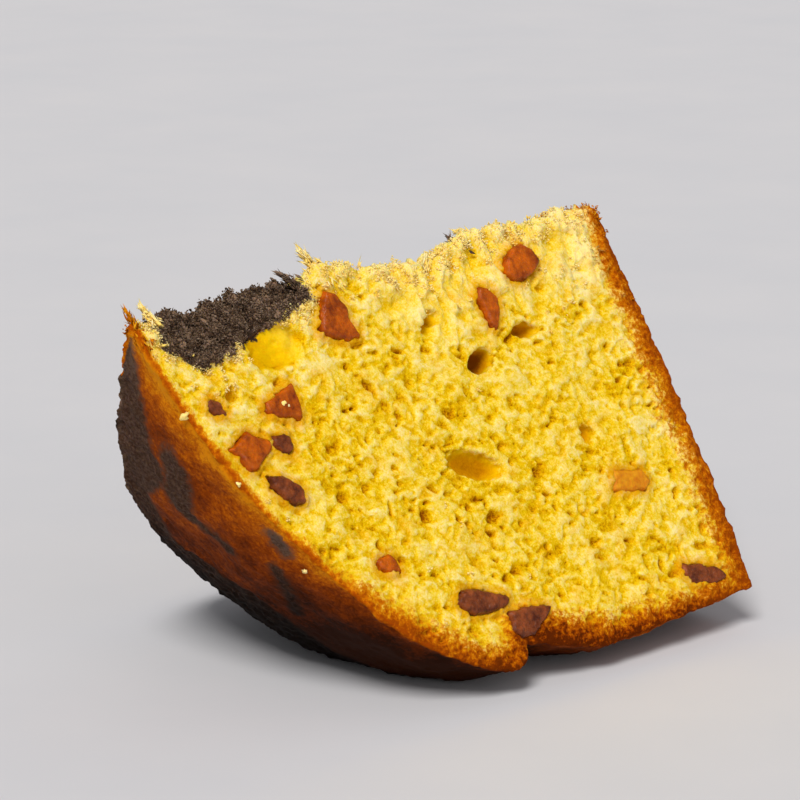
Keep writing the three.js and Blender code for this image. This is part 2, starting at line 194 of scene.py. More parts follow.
# Fruit by slot: its material, colours from its dark to its light patches, roughness
# and glow, then the height and width of its wrinkles in millimetres
FRUIT = {
    "candied_orange": ("orange_flesh", [(0.34, 112, 38, 0), (0.7, 212, 102, 2)], 0.24, 0.3),
    "pale_orange": ("pale_orange_flesh", [(0.34, 200, 106, 0), (0.7, 232, 164, 14)], 0.5, 0.15),
    "raisin": ("raisin_flesh", [(0.34, 66, 22, 8), (0.7, 158, 80, 36)], 0.26, 0.2),
}
WRINKLES = {"candied_orange": (0.2, 2.2), "pale_orange": (0.2, 2.2), "raisin": (0.3, 1.6)}
PALE_ORANGE = ["candied_orange_6"] + [f"candied_orange_{number}" for number in range(8, 12)]

# Camera: where the photo was taken from
CAMERA_PLACE = Vector((-0.45405, -0.4785, 0.21464))
CAMERA_AZIMUTH = math.radians(-44)
CAMERA_ELEVATION = math.radians(14)
CAMERA_LENS = 157.5
CAMERA_SENSOR = 36

# Lights: the way that the light goes, its strength and its spread in degrees
KEY_LIGHT = ((0.77, 0.5, -1), 2.6, 20)
FILL_LIGHT = ((0.334, 1.068, -0.4), 0.55, 60)
SKY_COLOUR = (0.93, 0.95, 1, 1)
SKY_STRENGTH = 0.3

# How far the fruit stains the crumb around it, in millimetres
STAIN_REACH = 2.2

# How uneven loose bits are, as a share of their size
RAGGED = 0.45

# Seeds of the fruit, the loose crumbs and the torn points
FRUIT_SEED = 101
LOOSE_SEED = 251
TORN_SEEDS = {"crumb": 261, "cocoa": 263, "crust": 265}

# How fine the visible meshes are
SLICE_VOXEL = 0.38 * MM
SLICE_TRIANGLES = 192000
FRUIT_VOXEL = 0.26 * MM


def colour(red, green, blue):
    """Linear colour from screen values of 0 to 255."""
    screen = (red, green, blue)
    return tuple(((c / 255 + 0.055) / 1.055) ** 2.4 if c > 10 else c / 3295 for c in screen) + (1,)


# Numbers that vary over space, for many points at once


def lattice(cell, seed):
    """Repeatable random number from 0 to 1 at whole grid places."""
    n = cell[:, 0] * 374761393 + cell[:, 1] * 668265263 + cell[:, 2] * 951274213 + seed * 1274126177
    n = (n ^ (n >> 13)) & 0xFFFFFFFF
    n = (n * 1274126177) & 0xFFFFFFFF
    n = (n ^ (n >> 15)) * 2246822519 & 0xFFFFFFFF
    return ((n ^ (n >> 16)) & 0xFFFFFF) / 0xFFFFFF


def cloud(points, wave, seed):
    """Smooth unevenness from -1 to 1 with humps about one wave apart."""
    place = points / wave
    cell = np.floor(place).astype(np.int64)
    t = place - cell
    t = t * t * (3 - 2 * t)
    total = np.zeros(len(points))
    for corner in np.ndindex(2, 2, 2):
        step = np.array(corner)
        weight = np.prod(np.where(step == 1, t, 1 - t), axis=1)
        total += weight * lattice(cell + step, seed)
    return 2 * total - 1


def layered(points, layers, base=0):
    """Clouds on top of a base height; each layer is its height, its wave and its seed."""
    for height, wave, seed in layers:
        base = base + height * cloud(points, wave, seed)
    return base


def pores(points, wave, smallest, largest, seed):
    """How deep a point is in the nearest of many round pores: 0 outside, 1 in its middle."""
    place = points / wave
    cell = np.floor(place).astype(np.int64)
    deepest = np.zeros(len(points))
    for corner in np.ndindex(3, 3, 3):
        near = cell + np.array(corner) - 1
        centre = np.stack([near[:, k] + lattice(near, seed + 1 + k) for k in range(3)], axis=1)
        size = smallest + (largest - smallest) * lattice(near, seed + 7) ** 2
        gap = np.linalg.norm((place - centre) * wave, axis=1)
        deepest = np.maximum(deepest, 1 - gap / size)
    return deepest


def ramp(value, low, high):
    """0 at low, 1 at high and smooth between; low may be the larger."""
    t = np.clip((value - low) / (high - low), 0, 1)
    return t * t * (3 - 2 * t)


def line_value(line, at):
    """Value at a place, between the nearest entries of a list of (place, value)."""
    places, values = zip(*line)
    return np.interp(at, places, values)


# The cake's frame and its surfaces


def to_cake(points):
    """Frame metres to cake millimetres."""
    axes = np.array([OUTWARD, FRONTWARD, CAKE_AXIS])
    return (points - np.array(BASE_CENTRE)) @ axes.T / MM


def from_cake(points):
    """Cake millimetres to frame metres."""
    axes = np.array([OUTWARD, FRONTWARD, CAKE_AXIS])
    return points * MM @ axes + np.array(BASE_CENTRE)


def dome_line():
    """The dome's outline from the rim to the crown."""
    power = 2 / DOME_EXPONENT
    steps = 18
    line = []
    for i in range(steps + 1):
        t = i / steps * math.pi / 2
        radius = RIM_RADIUS * max(math.cos(t), 0) ** power
        height = RIM_HEIGHT + (CAKE_HEIGHT - RIM_HEIGHT) * math.sin(t) ** power
        line.append((radius, height))
    return line


def crust_depth(cake):
    """Distance of points below the outside of the whole cake, in millimetres."""
    outline = np.array(BASE_LINE + WALL_LINE + dome_line())
    flat = np.stack([np.hypot(cake[:, 0], cake[:, 1]), cake[:, 2]], axis=1)
    nearest = np.full(len(cake), 1e9)
    for start, end in zip(outline[:-1], outline[1:]):
        along = end - start
        t = np.clip((flat - start) @ along / (along @ along), 0, 1)
        gap = np.linalg.norm(flat - start - t[:, None] * along, axis=1)
        nearest = np.minimum(nearest, gap)
    return nearest


def cut_depth(cake, angle, side):
    """Distance of points behind a cut, in millimetres."""
    return -side * (cake[:, 1] * math.cos(angle) - cake[:, 0] * math.sin(angle))


def tear_depth(cake):
    """Distance of points behind the torn tip, in millimetres."""
    front = line_value(FRONT_TEAR, cake[:, 2]) * math.cos(FRONT_CUT)
    back = line_value(BACK_TEAR, cake[:, 2]) * math.cos(BACK_CUT)
    return cake[:, 0] - back - (front - back) * ramp(cake[:, 1], -TEAR_BLEND, TEAR_BLEND)


# Meshes to and from arrays


def link(name, mesh):
    """A new object with this mesh, in the scene."""
    piece = bpy.data.objects.new(name, mesh)
    bpy.context.scene.collection.objects.link(piece)
    return piece


def merged_copy(node, name):
    """A copy of a CAD node's mesh with its loose triangles joined."""
    shape = bmesh.new()
    shape.from_mesh(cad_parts[node].data)
    bmesh.ops.remove_doubles(shape, verts=shape.verts, dist=0.002 * MM)
    mesh = bpy.data.meshes.new(name)
    shape.to_mesh(mesh)
    shape.free()
    return link(name, mesh)


def apply_modifiers(piece):
    """Puts the result of a piece's modifiers into its mesh."""
    view = bpy.context.evaluated_depsgraph_get()
    mesh = bpy.data.meshes.new_from_object(piece.evaluated_get(view))
    piece.modifiers.clear()
    old = piece.data
    piece.data = mesh
    bpy.data.meshes.remove(old)


def remesh(piece, voxel):
    """Even, closed, fine mesh of the same shape."""
    modifier = piece.modifiers.new("fine", "REMESH")
    modifier.mode = "VOXEL"
    modifier.voxel_size = voxel
    modifier.use_smooth_shade = True
    apply_modifiers(piece)


def even_out(piece, rounds):
    """Takes the small steps of the remesh off the sharp edges."""
    modifier = piece.modifiers.new("even", "SMOOTH")
    modifier.factor = 0.5
    modifier.iterations = rounds
    apply_modifiers(piece)


def decimate(piece, triangles):
    """Fewer triangles, where the surface is smooth."""
    piece.data.calc_loop_triangles()
    count = len(piece.data.loop_triangles)
    modifier = piece.modifiers.new("fewer", "DECIMATE")
    modifier.ratio = min(1, triangles / count)
    apply_modifiers(piece)


def read_points(mesh):
    points = np.empty(len(mesh.vertices) * 3)
    mesh.vertices.foreach_get("co", points)
    return points.reshape(-1, 3)


def read_normals(mesh):
    normals = np.empty(len(mesh.vertices) * 3, np.float32)
    mesh.vertex_normals.foreach_get("vector", normals)
    return normals.reshape(-1, 3).astype(float)


def write_points(mesh, points):
    mesh.vertices.foreach_set("co", points.ravel())
    mesh.update()


def write_mask(mesh, name, values):
    """A number for each point of the mesh, for its material to read."""
    mask = mesh.attributes.get(name) or mesh.attributes.new(name, "FLOAT", "POINT")
    mask.data.foreach_set("value", np.asarray(values, np.float32))


def finish_piece(piece, material, slot, *nodes):
    """Gives a piece its material and hangs it under the root body; it may stand for CAD nodes, which it
    hides.
    """
    piece.data.materials.clear()
    piece.data.materials.append(material)
    if nodes:
        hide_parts(*nodes)
    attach(piece, "root")


# Where the dough is browned and where it is marbled


def brown_band(cake, depth):
    """Thickness of the browned dough along the outline, in millimetres."""
    radius = np.hypot(cake[:, 0], cake[:, 1])
    height = cake[:, 2]
    outside = line_value(BROWN_BY_HEIGHT, height)
    under = line_value(BROWN_BY_RADIUS, radius)
    return np.where(height < depth + 0.5, under, outside)


def cocoa_skin(cake):
    """How far inside the cocoa marbling a place on the crust is, in millimetres."""
    radius = np.hypot(cake[:, 0], cake[:, 1])
    turn = np.degrees(np.arctan2(cake[:, 1], cake[:, 0]))
    height = cake[:, 2]
    per_degree = np.radians(1) * np.maximum(radius, 4)
    field = (line_value(COCOA_EDGE, height) - turn) * per_degree
    for start, end, wide in COCOA_STREAKS:
        edge = np.array(end) - np.array(start)
        place = np.stack([height - start[0], turn - start[1]], axis=1)
        scale = np.stack([np.full(len(cake), 1.6), per_degree], axis=1)
        run = edge * scale
        t = np.clip((place * scale * run).sum(axis=1) / (run * run).sum(axis=1), 0, 1)
        gap = np.linalg.norm(place * scale - t[:, None] * run, axis=1)
        field = np.maximum(field, wide / 2 - gap)
    return np.minimum(field, height - COCOA_LOWEST + 3 * cloud(cake, 11, 90))


def cocoa_inside(cake, depth):
    """How far inside the cocoa dough a place in the crumb is, in millimetres."""
    radius = np.hypot(cake[:, 0], cake[:, 1])
    thick = line_value(COCOA_THICKNESS, radius)
    swirl = layered(cake, COCOA_SWIRL)
    band = np.minimum(thick * (1 + 0.25 * cloud(cake, 20, 83)) - depth, cake[:, 2] - COCOA_FOOT)
    behind_front = cut_depth(cake, FRONT_CUT, 1) - tear_depth(cake) + 0.6
    tip = np.minimum(band + 0.4 * swirl, COCOA_TOP - cake[:, 2])
    band = np.where(radius < TIP_RADIUS, tip, band + swirl)
    return np.minimum(band, behind_front)


# The slice


def crumb_openness(cake):
    """Below 0 on the walls of the cut crumb, above 0 in its pores, up to about 1.5 in the largest."""
    along_grain = (cake @ CRUMB_GRAIN)[:, None] * CRUMB_GRAIN
    drawn = cake - along_grain * (1 - 1 / CRUMB_DRAWN)
    warp = np.stack([cloud(cake, 2.6, 11 + k) + 0.5 * cloud(cake, 1, 21 + k) for k in range(3)], axis=1)
    bent = drawn + 0.6 * warp
    walls = layered(cake, CRUMB_PATCHES, layered(bent, CRUMB_WALLS))
    small = 0.8 * ramp(pores(bent, *SMALL_PORES), 0.1, 0.8)
    large = 1.4 * ramp(pores(bent, *LARGE_PORES), 0.05, 0.9)
    return np.maximum(small, large) - walls - 0.12


def along_front(cake):
    """Distance of points from the axis, along the front cut."""
    return cake[:, 0] * math.cos(FRONT_CUT) + cake[:, 1] * math.sin(FRONT_CUT)


def oval(across, up, length, width, turn):
    """0 in the middle of a turned oval and 1 on its edge, by the distances from its middle."""
    angle = math.radians(turn)
    first = (across * math.cos(angle) + up * math.sin(angle)) / length
    second = (up * math.cos(angle) - across * math.sin(angle)) / width
    return np.hypot(first, second)


def front_patches(cake):
    """How deep a place on the front cut looks in one of its named patches, 0 outside them."""
    across = layered(cake, [(0.5, 1.2, 94)], along_front(cake))
    up = layered(cake, [(0.5, 1.2, 95)], cake[:, 2])
    deepest = np.zeros(len(cake))
    for radius, height, length, width, turn, deep in PATCHES:
        place = oval(across - radius, up - height, length, width, turn)
        deepest = np.maximum(deepest, deep * ramp(place, 1.15, 0.6))
    return deepest * ramp(cut_depth(cake, FRONT_CUT, 1), 4, 2)


def crumb_relief(cake, openness):
    """Height in millimetres of the crumb over its cut: ragged walls and deep pores."""
    swell = layered(cake, CRUMB_SWELL, 0.35)
    return swell - 0.45 * ramp(openness, -0.6, 0.6) - ramp(openness, 0.5, 1.4)


def torn_strands(cake):
    """Places drawn together along the pull of the tear, so that noise read there runs in strands."""
    pull = np.array([math.cos(FRONT_CUT), math.sin(FRONT_CUT), 0])
    swayed = cake + 1.6 * np.stack([cloud(cake, 5, 91 + k) for k in range(3)], axis=1)
    return swayed - (swayed @ pull)[:, None] * pull * (1 - 1 / STRAND_DRAWN)


def in_dish(cake):
    """How far a place is inside the front cut's smooth hollow, and how far towards the side of it that
    takes painted shade, from 0 to 1.
    """
    radius, height, length, width, turn = DISH
    across = along_front(cake) - radius
    up = cake[:, 2] - height
    place = layered(cake, [(0.15, 1.4, 86)], oval(across, up, length, width, turn))
    inside = ramp(place, 1, 0.7) * ramp(cut_depth(cake, FRONT_CUT, 1), 5, 3)
    return inside, ramp(up + 0.5 * across, -width, width)


def crust_relief(cake, depth, cocoa):
    """Height in millimetres of the baked skin: wrinkled on the dome, rough on the wall and base."""
    dome = ramp(cake[:, 2], RIM_HEIGHT - 6, RIM_HEIGHT)
    askew = cake @ ASKEW
    crust = dome * layered(askew, DOME_WRINKLES) + (1 - dome) * layered(askew, WALL_ROUGHNESS)
    crust += dome * ramp(cocoa, -0.5, 2) * layered(askew, COCOA_ROUGHNESS)
    front_edge = ramp(cut_depth(cake, FRONT_CUT, 1), 2.4, 0.6)
    back_edge = (1 - ramp(cut_depth(cake, BACK_CUT, -1), 0.5, 3)) * (1 - ramp(depth, 1, 3.5)) * dome
    lip = front_edge * layered(askew, FRONT_LIP, 0.2)
    return crust + lip + back_edge * (layered(askew, BACK_EDGE) - 0.3)


def fruit_distance(points, behind, fruits):
    """Distance in millimetres from places on the cuts to the nearest fruit, up to a few millimetres."""
    flesh = np.concatenate([read_points(fruit.data) for fruit in fruits])
    tree = KDTree(len(flesh))
    for index, place in enumerate(flesh):
        tree.insert(place, index)
    tree.balance()
    distance = np.full(len(points), 9.0)
    for index in np.flatnonzero(behind < 3):
        distance[index] = tree.find(points[index])[2] / MM
    return distance


def measure_slice(points, fruits):
    """Where the slice's points lie: how deep below each surface, how torn and how near a fruit."""
    at = SimpleNamespace(points=points, cake=to_cake(points))
    at.depth = crust_depth(at.cake)
    at.behind_front = cut_depth(at.cake, FRONT_CUT, 1)
    at.behind_tear = tear_depth(at.cake)
    behind_back = cut_depth(at.cake, BACK_CUT, -1)
    at.behind = np.minimum(np.minimum(at.behind_front, behind_back), at.behind_tear)
    at.skin = ramp(at.behind, 0.5, 1.3) * ramp(at.depth, 1.6, 0.9)
    at.dish, at.dish_side = in_dish(at.cake)
    at.hollow = np.maximum(ramp(at.behind, 1.1, 1.9) * ramp(at.depth, 1.5, 3), at.dish)
    by_the_tear = 0.7 * ramp(at.behind_tear, 17, 8) * ramp(at.cake[:, 2], 66, 56)
    at.torn = np.maximum(ramp(at.behind_tear, 4, 0), by_the_tear)
    folds = 0.9 - 2 * np.abs(cloud(at.cake, 3.4, 64))
    at.tufts = layered(torn_strands(at.cake), TORN_STRANDS, folds)
    patches = front_patches(at.cake)
    at.openness = crumb_openness(at.cake)
    at.openness += np.minimum(patches / 0.5, 1) * (patches - at.openness)
    at.to_fruit = fruit_distance(points, at.behind, fruits)
    at.cocoa = at.skin * cocoa_skin(at.cake) + (1 - at.skin) * cocoa_inside(at.cake, at.depth)
    return at


def cut_relief(at):
    """Height in millimetres of the crumb and of the browned dough on the cuts and the tear."""
    relief = crumb_relief(at.cake, at.openness) * (1 - 0.5 * at.hollow) * (1 - 0.7 * at.torn)
    relief -= DISH_DEPTH * at.dish
    ledge = ramp(at.to_fruit, 1.5, 0.3) * layered(at.cake, FRUIT_LEDGE, 0.5)
    relief += (ledge - relief) * ramp(at.to_fruit, 1.2, 0.3)
    fluff = at.torn * (1 - at.dish) * at.tufts
    grain = layered(at.cake @ ASKEW, BROWN_GRAIN)
    inside = ramp(at.depth, 0.4, 3.5)
    return inside * (relief + fluff) + (1 - inside) * (grain - 0.3 * pores(at.cake, *BROWN_PORES))


def openness_with_painted_light(at):
    """How deep the crumb looks: paler where it is torn, with painted light on torn tuft tops and painted
    shade between them, paler near the base edge and round the fruit, and painted shade deep in hollows and
    on one side of the dish.
    """
    # Painted shade: darker the deeper a hollow goes behind the cut, and darker on one side of the dish
    hollow_shade = 0.4 + 0.7 * ramp(at.behind, 1.2, 3) + 0.7 * ramp(at.behind, 2.4, 5)
    hollow_shade += at.dish * (0.7 * at.dish_side - 0.35)
    # Painted light and shade on the torn tufts: paler on their tops and darker between them
    openness = at.openness + at.torn * (-0.15 - 0.45 * at.tufts - at.openness)
    near_base = 0.45 * ramp(at.cake[:, 2], 20, 8) * ramp(cloud(at.cake, 7, 96), -0.6, 0.3)
    openness -= 0.25 * ramp(at.behind_tear, 26, 8) + near_base
    openness += ramp(at.to_fruit, 1.2, 0.2) * (0.1 + 0.7 * cloud(at.cake, 0.9, 89) - openness)
    return openness + (hollow_shade - openness) * at.hollow


def paint_slice(mesh, at):
    """The masks that the slice's material reads."""
    # The crust's darkness: its baking, with painted shade low on the dome and painted light along the front
    # cut
    skin_bake_and_painted_light = line_value(BAKE_AND_SHADE, at.cake[:, 2]) - line_value(EDGE_LIP_AND_LIGHT, at.behind_front)
    inner_bake = line_value(BAKE_INSIDE, at.cake[:, 2])
    write_mask(mesh, "open", openness_with_painted_light(at))
    write_mask(mesh, "hollow", at.hollow)
    write_mask(mesh, "skin", at.skin)
    write_mask(mesh, "depth", at.depth / brown_band(at.cake, at.depth))
    write_mask(mesh, "bake_and_painted_light", at.skin * skin_bake_and_painted_light + (1 - at.skin) * inner_bake)
    write_mask(mesh, "stain", ramp(at.to_fruit, STAIN_REACH, 0.2))
    write_mask(mesh, "cocoa", at.cocoa)


def make_slice(fruits):
    """The slice as one fine mesh: open crumb, torn tip and baked skin."""
    piece = merged_copy("slice", "slice_body")
    remesh(piece, SLICE_VOXEL)
    even_out(piece, 3)
    mesh = piece.data
    normals = read_normals(mesh)
    at = measure_slice(read_points(mesh), fruits)
    height = at.skin * crust_relief(at.cake, at.depth, at.cocoa) + (1 - at.skin) * cut_relief(at)
    on_floor = ramp(at.points[:, 2], 0.1 * MM, 0.8 * MM)
    write_points(mesh, at.points + normals * (height * on_floor * MM)[:, None])
    paint_slice(mesh, at)
    decimate(piece, SLICE_TRIANGLES)
    piece.data.shade_smooth()
    return piece


# Crumbs and shreds: many small ragged bits in one mesh


def scatter(name, places, directions, sizes, detail, seed):
    """One closed bit at each place, along its direction; sizes are half its length, width and thickness."""
    shape = bmesh.new()
    if detail:
        bmesh.ops.create_icosphere(shape, subdivisions=detail, radius=1)
    else:
        bmesh.ops.create_uvsphere(shape, u_segments=4, v_segments=2, radius=1)
    corners = np.array([corner.co[:] for corner in shape.verts])
    faces = np.array([[corner.index for corner in face.verts] for face in shape.faces])
    shape.free()
    chance = np.random.default_rng(seed)
    count = len(places)
    along = directions / np.linalg.norm(directions, axis=1, keepdims=True)
    aside = np.cross(along, chance.normal(size=(count, 3)))
    aside /= np.linalg.norm(aside, axis=1, keepdims=True)
    across = np.cross(along, aside)
    ragged = corners[None] * (1 + RAGGED * chance.uniform(-1, 1, (count, len(corners), 1))) * sizes[:, None]
    axes = (along, aside, across)
    points = places[:, None] + sum(ragged[:, :, k, None] * axes[k][:, None] for k in range(3))
    loops = (faces[None] + np.arange(count)[:, None, None] * len(corners)).ravel()
    mesh = bpy.data.meshes.new(name)
    mesh.vertices.add(count * len(corners))
    mesh.loops.add(len(loops))
    mesh.polygons.add(count * len(faces))
    mesh.vertices.foreach_set("co", points.ravel())
    mesh.loops.foreach_set("vertex_index", loops.astype(np.int32))
    mesh.polygons.foreach_set("loop_start", np.arange(0, len(loops), 3, dtype=np.int32))
    mesh.update(calc_edges=True)
    write_mask(mesh, "tint", np.repeat(chance.uniform(0, 1, count), len(corners)))
    mesh.shade_smooth()
    return link(name, mesh)


def surface_samples(piece, count, seed, wanted):
    """Random places on a piece with their normals and masks, more where wanted is larger."""
    mesh = piece.data
    mesh.calc_loop_triangles()
    corners = np.empty(len(mesh.loop_triangles) * 3, np.int32)
    mesh.loop_triangles.foreach_get("vertices", corners)
    corners = corners.reshape(-1, 3)
    points = read_points(mesh)
    normals = read_normals(mesh)
    masks = {}
    for mask in ("open", "hollow", "skin", "depth", "cocoa"):
        values = np.empty(len(mesh.vertices), np.float32)
        mesh.attributes[mask].data.foreach_get("value", values)
        masks[mask] = values[corners].mean(axis=1)
    middle = points[corners].mean(axis=1)
    first, second, third = (points[corners[:, k]] for k in range(3))
    area = np.linalg.norm(np.cross(second - first, third - first), axis=1)
    weight = area * wanted(to_cake(middle), masks) * (middle[:, 2] > 1.5 * MM)
    chance = np.random.default_rng(seed)
    chosen = chance.choice(len(corners), count, p=weight / weight.sum())
    share = chance.dirichlet((1, 1, 1), count)
    place = (points[corners[chosen]] * share[:, :, None]).sum(axis=1)
    normal = normals[corners[chosen]].mean(axis=1)
    return place, normal, {mask: values[chosen] for mask, values in masks.items()}


def make_shreds(piece, name, tufts, lengths, widths, seed, wanted):
    """Tufts of shreds on the crumb, with their smallest and largest length and width in millimetres."""
    place, normal, masks = surface_samples(piece, tufts, seed, wanted)
    chance = np.random.default_rng(seed + 1)
    count = tufts * TUFT
    lean = np.repeat(normal + 0.5 * chance.normal(size=(tufts, 3)), TUFT, axis=0)
    direction = lean + 0.5 * chance.normal(size=(count, 3))
    direction /= np.linalg.norm(direction, axis=1, keepdims=True)
    tall = np.repeat(chance.uniform(0.6, 1.2, tufts), TUFT)
    length = (lengths[0] + (lengths[1] - lengths[0]) * chance.uniform(0, 1, count) ** 2) * tall
    width = chance.uniform(*widths, count)
    thickness = width * chance.uniform(0.4, 0.9, count)
    root = np.repeat(place, TUFT, axis=0) + 0.3 * MM * chance.normal(size=(count, 3))
    sizes = np.stack([length, width, thickness], axis=1) / 2 * MM
    shreds = scatter(name, root + direction * (0.3 * length * MM)[:, None], direction, sizes, 0, seed + 2)
    each = len(shreds.data.vertices) // tufts
    write_mask(shreds.data, "depth", np.repeat(masks["depth"], each))
    write_mask(shreds.data, "cocoa", np.repeat(masks["cocoa"], each))
    tint = np.repeat(chance.uniform(0, 0.7, tufts), each)
    write_mask(shreds.data, "tint", tint + 0.3 * chance.uniform(0, 1, each * tufts))
    return shreds


def crumb_only(masks):
    return ramp(masks["skin"], 0.6, 0.2) * (1 - masks["hollow"])


def front_crumb(cake, masks):
    front = ramp(cut_depth(cake, FRONT_CUT, 1), 3, 1.5) * ramp(tear_depth(cake), 0.3, 1.2)
    edge = ramp(tear_depth(cake), 9, 2)
    upper = ramp(tear_depth(cake), 22, 12) * ramp(cake[:, 2], 50, 38)
    share = 0.02 + np.maximum(edge, 0.6 * upper)
    return front * crumb_only(masks) * ramp(masks["open"], 0.1, -0.3) * share


def torn_crumb(cake, masks):
    pale = ramp(masks["cocoa"], 1, -1)
    return ramp(tear_depth(cake), 3, 1.5) * crumb_only(masks) * pale


def cocoa_crumb(cake, masks):
    dark = ramp(masks["cocoa"], -1, 1)
    return ramp(tear_depth(cake), 3, 1.5) * crumb_only(masks) * dark


def back_crumb(cake, masks):
    back = ramp(cut_depth(cake, BACK_CUT, -1), 3, 1.5) * ramp(tear_depth(cake), 1, 2)
    return back * crumb_only(masks) * (0.1 + ramp(tear_depth(cake), 9, 2))


# Shreds in a tuft, then for each kind of tuft its name, the number of tufts, their
# shreds' shortest and longest length and width, the seed, and where they stand
TUFT = 10
SHREDS = [
    ("front_shreds", 150, (0.4, 1), (0.25, 0.5), 201, front_crumb),
    ("tear_shreds", 900, (0.4, 1.2), (0.25, 0.5), 211, torn_crumb),
    ("cocoa_shreds", 1700, (0.4, 0.9), (0.25, 0.55), 231, cocoa_crumb),
    ("back_shreds", 450, (0.5, 1.4), (0.22, 0.5), 221, back_crumb),
]


# Bits that stand out of the torn edges: what they are of, where they begin and end,
# as distance from the axis, height and distance behind the front cut, then their
# width and the number of shreds in them
TORN_BITS = [
    ("crumb", (7, 69.5, 1.2), (-0.7, 73.3, 1.6), 4, 170),
    ("crumb", (9, 68.5, 1), (2.7, 70.2, 1.4), 3, 100),
    ("crumb", (9.3, 73.7, 0.6), (5.2, 75.1, 1), 1.2, 30),
    ("crumb", (4, 110.4, 1.2), (-1, 112, 1.6), 2.6, 110),
    ("crumb", (7.5, 111, 1), (4.4, 113.4, 1), 2, 70),
    ("crumb", (7.5, 62, 1), (5.2, 61.2, 1), 0.8, 16),
    ("crumb", (11.5, 46.4, 1), (8.6, 45.3, 1), 1.6, 40),
    ("crumb", (11, 57, 1.5), (8, 56, 2), 2, 50),
    ("crumb", (8, 33, 1.5), (6.4, 35, 2), 2, 50),
    ("cocoa", (6.5, 76, 1.5), (2, 79.4, 2), 2.4, 120),
    ("cocoa", (9.5, 80, 2), (7, 83, 3), 3, 90),
    ("cocoa", (10.3, 35.4, 1.2), (7, 37.8, 1.4), 2.2, 90),
    ("crust", (6.5, 114.6, 0.8), (-1.4, 115.9, 1), 2.2, 130),
    ("crust", (13.8, 1.3, 0.9), (11.6, 0.8, 0.9), 2, 80),
]

# Loose crumbs on the crust and the fruit: distance from the axis, angle, height and size
LOOSE_CRUMBS = [
    (20.3, 23.6, 113.1, 1.5), (35.3, 24.9, 108, 1), (34.3, 22.6, 105, 1.2), (55, 20, 98, 1),
    (24.8, 26.6, 92, 1.2), (25.6, 26.6, 91.2, 0.8), (14.3, 26.8, 73.8, 1.1), (13.6, 26.8, 74.8, 0.7),
]


def behind_cut(radius, height, behind):
    """A place behind the front cut, in cake millimetres."""
    along = np.array([math.cos(FRONT_CUT), math.sin(FRONT_CUT), 0])
    inward = np.array([math.sin(FRONT_CUT), -math.cos(FRONT_CUT), 0])
    return radius * along + behind * inward + np.array([0, 0, height])


def paint_bits(piece, count, depth, cocoa):
    """The masks that the shreds' material reads, the same over the whole piece."""
    write_mask(piece.data, "depth", np.full(count, depth))
    write_mask(piece.data, "cocoa", np.full(count, cocoa))


def make_torn_bits(kind, seed):
    """Bundles of shreds that narrow towards their ends."""
    chance = np.random.default_rng(seed)
    places = []
    directions = []
    for of, start, end, width, count in TORN_BITS:
        if of == kind:
            start = behind_cut(*start)
            run = behind_cut(*end) - start
            along = chance.uniform(0, 1, (count, 1)) ** 1.2
            spread = 0.3 * width * (1 - 0.85 * along)
            places.append(start + run * along + spread * chance.normal(size=(count, 3)))
            directions.append(run / np.linalg.norm(run) + 0.35 * chance.normal(size=(count, 3)))
    places = np.concatenate(places)
    directions = np.concatenate(directions)
    length = chance.uniform(1, 3.2, len(places))
    width = chance.uniform(0.25, 0.7, len(places))
    sizes = np.stack([length, width, width * 0.6], axis=1) / 2 * MM
    axes = np.array([OUTWARD, FRONTWARD, CAKE_AXIS])
    piece = scatter("torn_" + kind, from_cake(places), directions @ axes, sizes, 0, seed + 1)
    depth = 0 if kind == "crust" else 3
    paint_bits(piece, len(piece.data.vertices), depth, 3 if kind == "cocoa" else -3)
    return piece


def make_loose_crumbs(seed):
    radius, turn, height, size = np.array(LOOSE_CRUMBS).T
    turn = np.radians(turn)
    cake = np.stack([radius * np.cos(turn), radius * np.sin(turn), height], axis=1)
    chance = np.random.default_rng(seed)
    sizes = size[:, None] * chance.uniform(0.7, 1.1, (len(cake), 3)) / 2 * MM
    piece = scatter("loose_crumbs", from_cake(cake), chance.normal(size=cake.shape), sizes, 2, seed + 1)
    paint_bits(piece, len(piece.data.vertices), 3, -3)
    return piece


# Shader helpers


def add(tree, kind, inputs=None, **settings):
    """A shader node with its settings and inputs; an input is a value or another node's output."""
    node = tree.nodes.new(kind)
    for key, value in settings.items():
        setattr(node, key, value)
    for key, value in (inputs or {}).items():
        if isinstance(value, bpy.types.NodeSocket):
            tree.links.new(value, node.inputs[key])
        else:
            node.inputs[key].default_value = value
    return node


def calc(tree, operation, *values):
    return add(tree, "ShaderNodeMath", dict(enumerate(values)), operation=operation).outputs[0]


def vary(tree, base, cloudy, amount):
    """A value made uneven by a cloudy one, which is 0.5 on average."""
    return calc(tree, "MULTIPLY_ADD", calc(tree, "SUBTRACT", cloudy, 0.5), amount, base)


def between(tree, factor, first, second):
    """The number first where factor is 0 and the number second where it is 1."""
    inputs = {"Factor": factor, "A": first, "B": second}
    return add(tree, "ShaderNodeMix", inputs).outputs["Result"]


def smooth(tree, value, low, high):
    """0 below low, 1 above high and smooth between."""
    inputs = {"Value": value, "From Min": low, "From Max": high}
    return add(tree, "ShaderNodeMapRange", inputs, interpolation_type="SMOOTHSTEP").outputs["Result"]


def blend(tree, factor, first, second):
    """The colour first where factor is 0 and the colour second where it is 1."""
    node = add(tree, "ShaderNodeMix", data_type="RGBA")
    for index, value in ((0, factor), (6, first), (7, second)):
        if isinstance(value, bpy.types.NodeSocket):
            tree.links.new(value, node.inputs[index])
        else:
            node.inputs[index].default_value = value
    return node.outputs[2]


